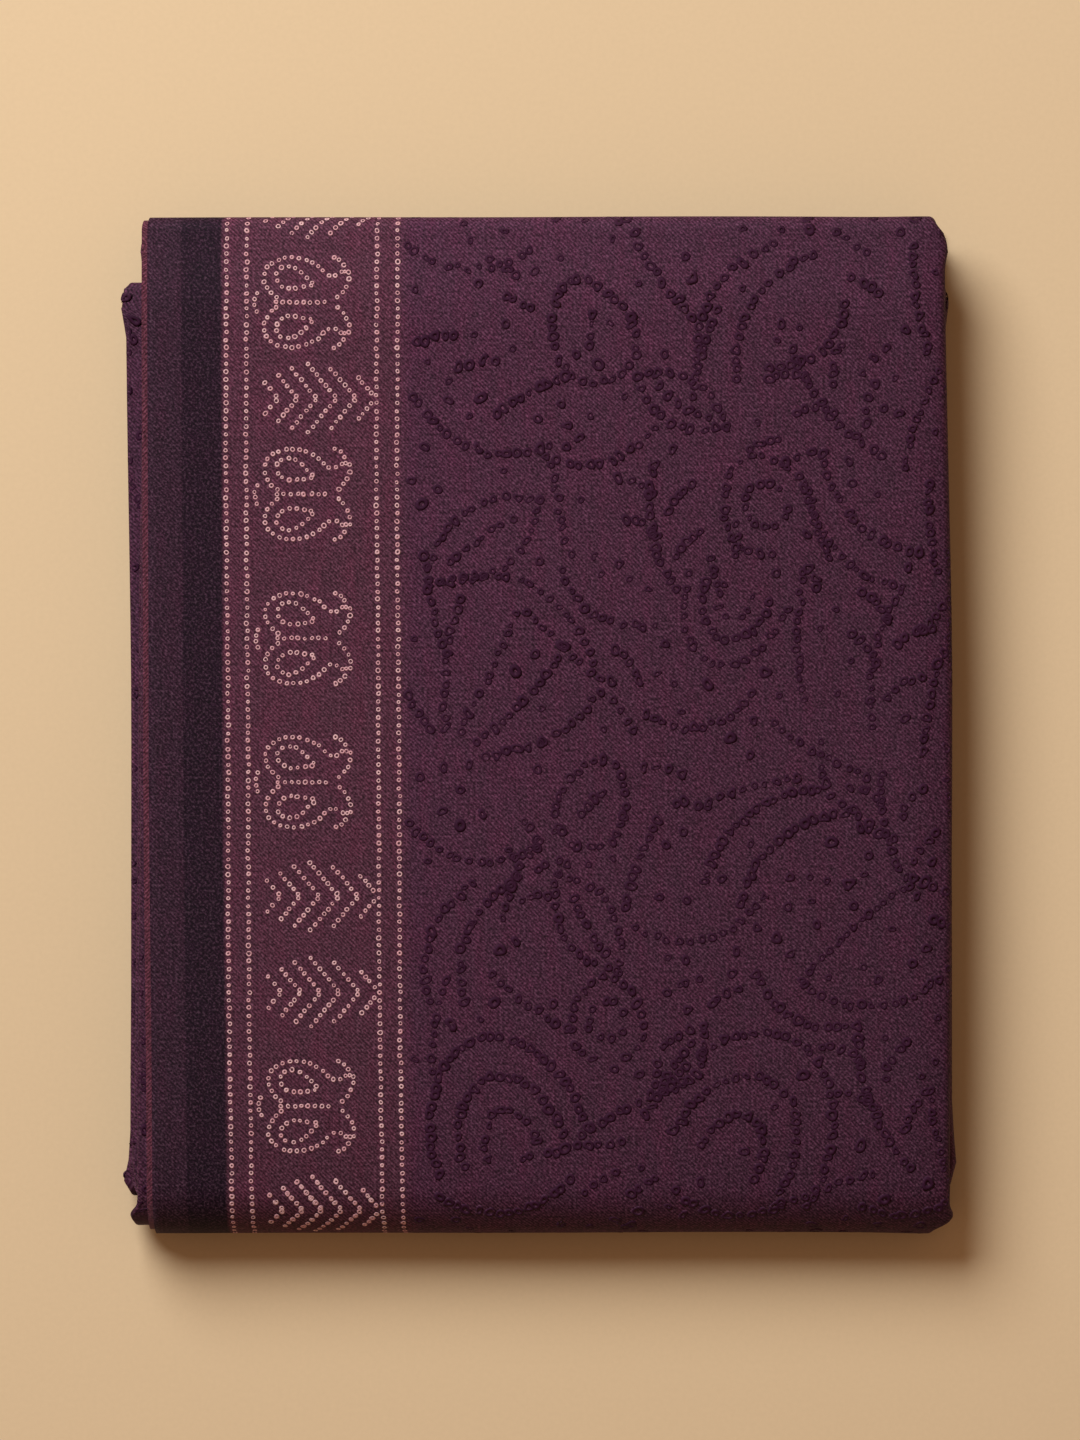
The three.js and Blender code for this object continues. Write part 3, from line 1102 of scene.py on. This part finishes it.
@dataclass
class Border:
    """The printed border along the selvedge: two pairs of dotted lines with a row of motifs between them."""

    folds: FoldedCloth
    lines: tuple[float, ...] = (26.3, 33.0, 76.5, 83.3)
    pitch: float = 2.62
    radius: float = 0.9
    middle: float = 54.0
    repeat: float = 336.0
    pairs: tuple[float, ...] = (141.0, 77.0, 29.0, -19.0, -127.0)
    chevrons: tuple[float, ...] = (174.0, 109.0, -57.0, -89.0, -162.0)
    stem_half: float = 1.6
    chevron_tips: tuple[float, ...] = (-11.0, -4.5, 2.0, 8.5, 15.0, 21.5)
    chevron_arms: tuple[float, ...] = (6.0, 9.0, 12.0, 14.0, 12.0, 8.0)
    chevron_spread: float = 50.0
    chevron_clipped: float = 20.6
    seed: int = 11

    def line_dots(self, length: float, rng: np.random.Generator) -> list[Array]:
        """The four dotted lines, each wandering a little to both sides."""
        made = []
        for line in self.lines:
            marks = np.arange(self.pitch / 2, length, self.pitch)
            marks = marks + rng.normal(0.0, 0.12, len(marks))
            drift = 0.22 * np.sin(marks / 27.0 + line) + rng.normal(0.0, 0.11, len(marks))
            made.append(np.stack((line + drift, marks), axis=1))
        return made

    def paisley(self) -> list[Array]:
        """One paisley of a pair: a drop whose tail curls up and back, with a small drop inside."""
        spine = walked((-15.0, 9.4), -10.0, ((18.0, -8.0), (9.0, 65.0), (10.0, 120.0)))
        inner_spine = walked((-11.0, 9.5), -14.0, ((15.0, -6.0),))
        return [*drop(spine, 15.5, least=1.3), drop(inner_spine, 7.2, least=0.6)[0]]

    def clear_of_stem(self, line: Array) -> list[Array]:
        """The stretches of a line that lie far enough over the stem."""
        over = line[:, 1] > self.stem_half
        stretches = np.split(line, np.flatnonzero(np.diff(over)) + 1)
        return [stretch for stretch in stretches if stretch[0, 1] > self.stem_half and len(stretch) > 4]

    def pair(self) -> list[Array]:
        """Two mirrored paisleys on one stem, and the sprig at its end."""
        above = [stretch for line in self.paisley() for stretch in self.clear_of_stem(line)]
        below = [line * np.array([1.0, -1.0]) for line in above]
        stem = bowed((-11.0, 0.0), (5.0, 0.0), 0.0)
        sprig = bowed((-17.5, 3.0), (-17.5, -3.0), -0.8)
        return [*above, *below, stem, sprig]

    def chevron(self) -> list[Array]:
        """Six arrowheads one inside the other, whose arms lean back from the tips."""
        lean = math.radians(self.chevron_spread)
        back, out = -math.cos(lean), math.sin(lean)
        made = []
        for tip, arm in zip(self.chevron_tips, self.chevron_arms):
            for side in (1.0, -1.0):
                far = (tip + arm * back, side * (arm * out + 0.6))
                line = bowed(far, (tip, side * 0.7), 0.0)
                made.append(line[line[:, 0] < self.chevron_clipped])
        return made

    def dots(self) -> Dots:
        """All the border's dots, from the lower cut end to past the back edge."""
        rng = np.random.default_rng(self.seed)
        length = float(self.folds.printed_of(np.array(self.folds.runs[3].start + self.folds.runs[3].length)))
        zero = self.folds.top_zero()
        found = self.line_dots(length, rng)
        for copy in (0, 1):
            for motif, places in ((self.pair(), self.pairs), (self.chevron(), self.chevrons)):
                for up in places:
                    for line in motif:
                        points = stepped(line, self.pitch * 0.91, rng, 0.06)
                        points = points + rng.normal(0.0, 0.09, points.shape)
                        found.append(points + np.array([self.middle, zero + up - copy * self.repeat]))
        points = np.concatenate(found)
        radius = np.clip(rng.normal(self.radius, 0.08, len(points)), 0.7, 1.1)
        made = Dots(points[:, 0], points[:, 1], radius)
        return made.keep((made.along > 2.0) & (made.along < length))


class Motif(Enum):
    """The shapes of the field's print."""

    EGG = "egg"
    NESTED = "nested egg"
    FAN = "fan"
    LEAF = "leaf"
    ARCHES = "arches"
    BRANCH = "branch"
    PAIR = "two arcs side by side"
    ZIGZAG = "zigzag"
    GARLAND = "garland"
    ROW = "row"


def oval(wide: float, high: float, begins: float = 0.0, ends: float = 360.0, narrow: float = 0.0) -> Array:
    """Part of an ellipse about the origin, between two angles, whose width shrinks towards its upper end."""
    angle = np.radians(np.linspace(begins, ends, 90))
    x = wide / 2 * np.cos(angle) * (1 - narrow * np.sin(angle))
    return np.stack((x, high / 2 * np.sin(angle)), axis=1)


def motif_lines(kind: Motif) -> list[Array]:
    """A field motif's lines, one unit high and upright about the origin."""
    up, down = (0.0, 0.5), (0.0, -0.5)
    match kind:
        case Motif.EGG:
            return [oval(0.74, 1.0, narrow=0.25), bowed((0.05, 0.12), (-0.07, -0.14), 0.0, 2)]
        case Motif.NESTED:
            return [oval(0.85, 1.0, -60.0, 250.0, 0.2), oval(0.42, 0.45, 20.0, 320.0, 0.2)]
        case Motif.FAN:
            lines = [bowed((-0.42, 0.3), (0.42, 0.3), 0.2)]
            for lean in (-36.0, -18.0, 0.0, 18.0, 36.0):
                way = np.array([math.sin(math.radians(lean)), math.cos(math.radians(lean))])
                begin, end = np.array(down) + 0.25 * way, np.array(down) + 0.85 * way
                lines.append(bowed(tuple(begin), tuple(end), -0.002 * lean))
            return lines
        case Motif.LEAF:
            return [bowed(down, up, 0.24), bowed(down, up, -0.24), bowed((0.0, -0.3), (0.0, 0.25), 0.03)]
        case Motif.ARCHES:
            arcs = ((1.0, 1.0), (0.66, 0.66), (0.34, 0.36))
            return [oval(wide, high * 1.5, 0.0, 180.0) - np.array([0.0, 0.4]) for wide, high in arcs]
        case Motif.BRANCH:
            lines = [bowed(down, up, 0.1)]
            for side, foot in ((1.0, -0.25), (-1.0, -0.05), (1.0, 0.12), (-1.0, 0.28)):
                lines.append(bowed((0.06 * side, foot), (0.28 * side, foot + 0.17), 0.03 * side))
            return lines
        case Motif.PAIR:
            return [bowed((-0.12, -0.5), (-0.1, 0.42), 0.16), bowed((0.12, -0.42), (0.14, 0.5), 0.16)]
        case Motif.ZIGZAG:
            marks = np.array([(-0.14, 0.5), (0.12, 0.22), (-0.1, 0.0), (0.14, -0.24), (-0.08, -0.5)])
            return [bowed(tuple(a), tuple(b), 0.02) for a, b in zip(marks[::2], marks[1::2])]
        case Motif.GARLAND:
            return [bowed((-0.5, 0.08), (0.5, 0.08), -0.2)]
    return [bowed(down, up, 0.04)]


@dataclass
class Field:
    """The field's print: tone-on-tone rings along common motifs, laid out as listed, with lone rings between.

    The layout is one repeat of the design, which tiles the cloth.
    """

    folds: FoldedCloth
    starts_at: float = 86.5
    pitch: float = 3.55
    radius: float = 1.9
    repeat_across: float = 184.0
    repeat_along: float = 339.0
    lone_rings: int = 900
    lone_apart: float = 5.2
    seed: int = 23

    # Each motif's kind, middle across from the selvedge and along from Y = 0, size and turn in degrees
    layout = (
        (Motif.GARLAND, 104, 158, 46, -8), (Motif.EGG, 148, 132, 36, 20), (Motif.ROW, 172, 150, 34, 35),
        (Motif.PAIR, 202, 138, 54, -30), (Motif.ZIGZAG, 238, 150, 32, 15), (Motif.ROW, 258, 142, 36, 8),
        (Motif.ZIGZAG, 106, 122, 34, 55), (Motif.GARLAND, 110, 98, 48, -20), (Motif.LEAF, 178, 108, 34, 60),
        (Motif.BRANCH, 230, 108, 46, 40), (Motif.ROW, 258, 102, 34, -20), (Motif.GARLAND, 150, 92, 40, 12),
        (Motif.NESTED, 206, 74, 34, 25), (Motif.LEAF, 112, 62, 46, -55), (Motif.BRANCH, 172, 66, 42, 10),
        (Motif.PAIR, 238, 68, 50, 45), (Motif.ROW, 262, 66, 30, 5), (Motif.FAN, 112, 14, 72, -25),
        (Motif.GARLAND, 152, 40, 36, -30), (Motif.ARCHES, 192, 32, 34, 160), (Motif.ROW, 218, 30, 42, 0),
        (Motif.ZIGZAG, 158, 8, 34, -10), (Motif.BRANCH, 246, 22, 46, -12), (Motif.GARLAND, 184, 4, 36, 10),
        (Motif.ROW, 224, -8, 36, 60), (Motif.GARLAND, 106, -40, 42, -12), (Motif.EGG, 148, -26, 30, -20),
        (Motif.ZIGZAG, 178, -24, 32, 35), (Motif.PAIR, 210, -40, 54, -50), (Motif.BRANCH, 250, -36, 42, 15),
        (Motif.PAIR, 106, -72, 46, -20), (Motif.LEAF, 146, -66, 38, 30), (Motif.GARLAND, 184, -66, 44, 14),
        (Motif.ROW, 234, -70, 46, -48), (Motif.NESTED, 152, -98, 28, 0), (Motif.ZIGZAG, 188, -90, 30, 70),
        (Motif.GARLAND, 242, -88, 48, 6), (Motif.ARCHES, 114, -122, 52, 18),
        (Motif.ARCHES, 204, -124, 62, -30),
        (Motif.BRANCH, 244, -124, 50, 20), (Motif.ROW, 160, -128, 38, -62),
        (Motif.GARLAND, 118, -158, 44, 8),
        (Motif.ZIGZAG, 160, -154, 30, 80), (Motif.GARLAND, 192, -160, 36, -6),
        (Motif.ROW, 224, -156, 36, -70),
        (Motif.GARLAND, 254, -160, 34, 12), (Motif.ZIGZAG, 122, 144, 26, 20), (Motif.ROW, 186, 124, 30, -15),
        (Motif.GARLAND, 222, 128, 34, 40), (Motif.ROW, 138, 72, 30, 12), (Motif.ZIGZAG, 190, 54, 26, -40),
        (Motif.ROW, 140, 26, 36, 48), (Motif.GARLAND, 264, 44, 28, 70), (Motif.ROW, 200, -22, 34, -75),
        (Motif.BRANCH, 126, -50, 34, -30), (Motif.ROW, 164, -46, 30, -20), (Motif.ZIGZAG, 264, -64, 30, 20),
        (Motif.GARLAND, 216, -94, 34, -30), (Motif.ROW, 126, -92, 30, 55), (Motif.LEAF, 176, -112, 28, -35),
        (Motif.ROW, 140, -142, 34, -80), (Motif.ROW, 264, -140, 38, 15), (Motif.ROW, 128, 110, 26, -60),
        (Motif.ZIGZAG, 214, 90, 26, 65), (Motif.ROW, 262, 8, 34, -12), (Motif.GARLAND, 230, -20, 30, -60),
        (Motif.ROW, 96, 40, 34, 12), (Motif.ROW, 96, -100, 30, -10), (Motif.ZIGZAG, 222, 52, 24, -20),
    )

    def one_repeat(self) -> Dots:
        """The rings of one repeat: along each motif's lines, turned and scaled, and then the lone ones.

        A lone ring stays where no other ring, nor a lone one before it, lies nearer than lone_apart.
        """
        rng = np.random.default_rng(self.seed)
        found = []
        for kind, across, along, size, turn in self.layout:
            lean = math.radians(turn)
            turned = np.array([[math.cos(lean), math.sin(lean)], [-math.sin(lean), math.cos(lean)]])
            for unit in motif_lines(kind):
                line = unit @ turned * size + np.array([across, along])
                points = stepped(line, self.pitch * rng.uniform(0.9, 1.1), rng, 0.12)
                points = points + rng.normal(0.0, 0.35, points.shape)
                size_here = self.radius * rng.uniform(0.82, 1.05)
                radius = np.clip(rng.normal(size_here, 0.22, len(points)), 1.1, 2.4)
                found.append(Dots(points[:, 0], points[:, 1], radius))
        rings = Dots.join(found)
        low = np.array([self.starts_at, -self.repeat_along / 2])
        spread = np.array([self.repeat_across, self.repeat_along])
        places = low + spread * rng.random((self.lone_rings, 2))
        near_rings = np.hypot(places[:, :1] - rings.across[None], places[:, 1:] - rings.along[None])
        near_lone = np.hypot(*(places[:, None, k] - places[None, :, k] for k in (0, 1)))
        near_lone[np.triu_indices(self.lone_rings)] = np.inf
        free = (near_rings.min(axis=1) > self.lone_apart) & (near_lone.min(axis=1) > self.lone_apart)
        places = places[free]
        radius = self.radius * rng.choice((0.75, 1.0, 1.3), len(places), p=(0.4, 0.4, 0.2))
        return Dots.join([rings, Dots(places[:, 0], places[:, 1], radius)])

    def dots(self) -> Dots:
        """The repeat tiled over the whole cloth, as far as it shows from outside."""
        one = self.one_repeat()
        zero = self.folds.top_zero()
        printed = self.folds.print_marks()[1]
        copies = []
        for column in range(3):
            for row in range(-2, 6):
                copies.append(one.moved(column * self.repeat_across, zero + row * self.repeat_along))
        made = Dots.join(copies)
        inside = (made.along > 3.0) & (made.along < printed[-1] - 3.0) & (made.across > self.starts_at)
        return made.keep(inside)

    def split(self, dots: Dots) -> dict[str, Dots]:
        """The dots by where they show: above, below, and in the folds at the two sides."""
        printed = self.folds.print_marks()[1]
        at = self.folds.station(self.folds.along_of(dots.along))
        lengths = self.folds.section_lengths(at)
        upper = lengths[0]
        right_end = upper + lengths[1]
        left_fold = right_end + lengths[2]
        wide = dots.across < right_end + 4.0
        above = wide & (dots.along > printed[1]) & (dots.along < printed[4])
        below = wide & (dots.along <= printed[1])
        right = wide & (dots.along >= printed[4]) & (dots.across > upper - 4.0)
        left = (dots.across > left_fold - 4.0) & (dots.across < left_fold + lengths[3] + 4.0)
        return {
            "field_rings_above": dots.keep(above),
            "field_rings_below": dots.keep(below),
            "field_rings_at_folds": dots.keep(right | left),
        }


# The surroundings


@dataclass(frozen=True)
class Studio:
    """A plain pale surface, a soft light from the back left, faint light all round, and the camera."""

    frame_height: float = 0.48
    camera_distance: float = 4.5
    top: float = 0.0309
    look_at: tuple[float, float] = (0.0, 0.0018)
    sensor: float = 36.0
    light_from: tuple[float, float, float] = (-0.395, 0.625, 0.674)
    light_distance: float = 2.6
    light_size: float = 1.7
    light_power: float = 92.0
    light_colour: tuple[float, float, float] = (0.897, 0.967, 1.0)
    around: tuple[float, float, float] = (0.28, 0.178, 0.114)
    floor_colour: tuple[float, float, float] = (216, 187, 150)

    def camera(self) -> None:
        """Sets a long lens straight above, with the back edge upwards in the frame."""
        data = bpy.data.cameras.new("camera")
        data.sensor_width = self.sensor
        data.lens = self.sensor * self.camera_distance / self.frame_height
        data.clip_end = 50.0
        made = bpy.data.objects.new("camera", data)
        made.location = (*self.look_at, self.top + self.camera_distance)
        bpy.context.scene.collection.objects.link(made)
        bpy.context.scene.camera = made

    def light(self) -> None:
        """Sets the one large light, which looks at the middle of the cloth, and the even light around."""
        data = bpy.data.lights.new("key", "AREA")
        data.shape = "DISK"
        data.size = self.light_size
        data.energy = self.light_power
        data.color = self.light_colour
        made = bpy.data.objects.new("key", data)
        direction = np.array(self.light_from) / np.linalg.norm(self.light_from)
        made.location = direction * self.light_distance
        tilt = math.acos(direction[2])
        swing = math.atan2(direction[0], direction[1])
        made.rotation_euler = (-tilt, 0.0, -swing)
        bpy.context.scene.collection.objects.link(made)
        world = bpy.data.worlds.new("around")
        world.use_nodes = True
        sheet = NodeSheet(world.node_tree)
        even = sheet.put("ShaderNodeBackground", {"Color": (*self.around, 1.0), "Strength": 1.0})
        sheet.put("ShaderNodeOutputWorld", {"Surface": even.outputs[0]})
        bpy.context.scene.world = world

    def floor(self) -> None:
        """Lays the pale surface just under the cloth."""
        half, down = 3000.0, -0.05
        signs = ((-1, -1), (1, -1), (1, 1), (-1, 1))
        points = np.array([(half * x, half * y, down) for x, y in signs])
        made = bpy.data.materials.new("pale_surface")
        made.use_nodes = True
        sheet = NodeSheet(made.node_tree)
        place = sheet.put("ShaderNodeTexCoord").outputs["Object"]
        grain = sheet.remap(sheet.noise(place, 0.0016, 3.0), 0.3, 0.7, 0.0, 1.0)
        base = colour(*self.floor_colour)
        darker = tuple(0.97 * value for value in base[:3]) + (1.0,)
        shown = sheet.mix(grain, base, darker)
        shader = sheet.put(
            "ShaderNodeBsdfPrincipled",
            {"Base Color": shown, "Roughness": 0.9, "Specular IOR Level": 0.2},
        )
        sheet.put("ShaderNodeOutputMaterial", {"Surface": shader.outputs[0]})
        floor = MeshParts(points, np.array([[0, 1, 2, 3]])).build("pale_floor", [made])

    def build(self) -> None:
        """Builds the surroundings."""
        self.floor()
        self.light()
        self.camera()
        bpy.context.scene.view_settings.view_transform = "Standard"


def corners(box: tuple) -> list[list[float]]:
    """A box's two corners as plain numbers."""
    return [[float(value) for value in corner] for corner in box]


def main() -> None:
    """Builds the cloth, its print and the surroundings in order."""
    logging.basicConfig(level=logging.INFO, format="%(message)s")
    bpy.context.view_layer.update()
    folds = FoldedCloth()
    cloth = ClothSheet(folds).build()
    log.info("cloth: %d faces", len(cloth.data.polygons))
    pale = InkFinish("pale_ink")
    dark = InkFinish(
        "dark_ink", ink=(44, 11, 35), second_ink=(49, 15, 39), starts=0.0, full=0.26, broken=0.45
    )
    border = RingPrint(
        folds, "border_rings", pale, seed=5, hole=(0.12, 0.4), uneven=0.05, broken=0.2, faint=0.15
    )
    pieces = [border.build(Border(folds).dots())]
    field_print = Field(folds)
    for number, (name, dots) in enumerate(field_print.split(field_print.dots()).items()):
        rings = RingPrint(
            folds, name, dark, seed=31 + number, hole=(0.06, 0.3), uneven=0.15, filled=0.2, faint=0.6
        )
        pieces.append(rings.build(dots))
    for piece in pieces:
        log.info("%s: %d faces", piece.name, len(piece.data.polygons))
    Studio().build()


if __name__ == "__main__":
    main()
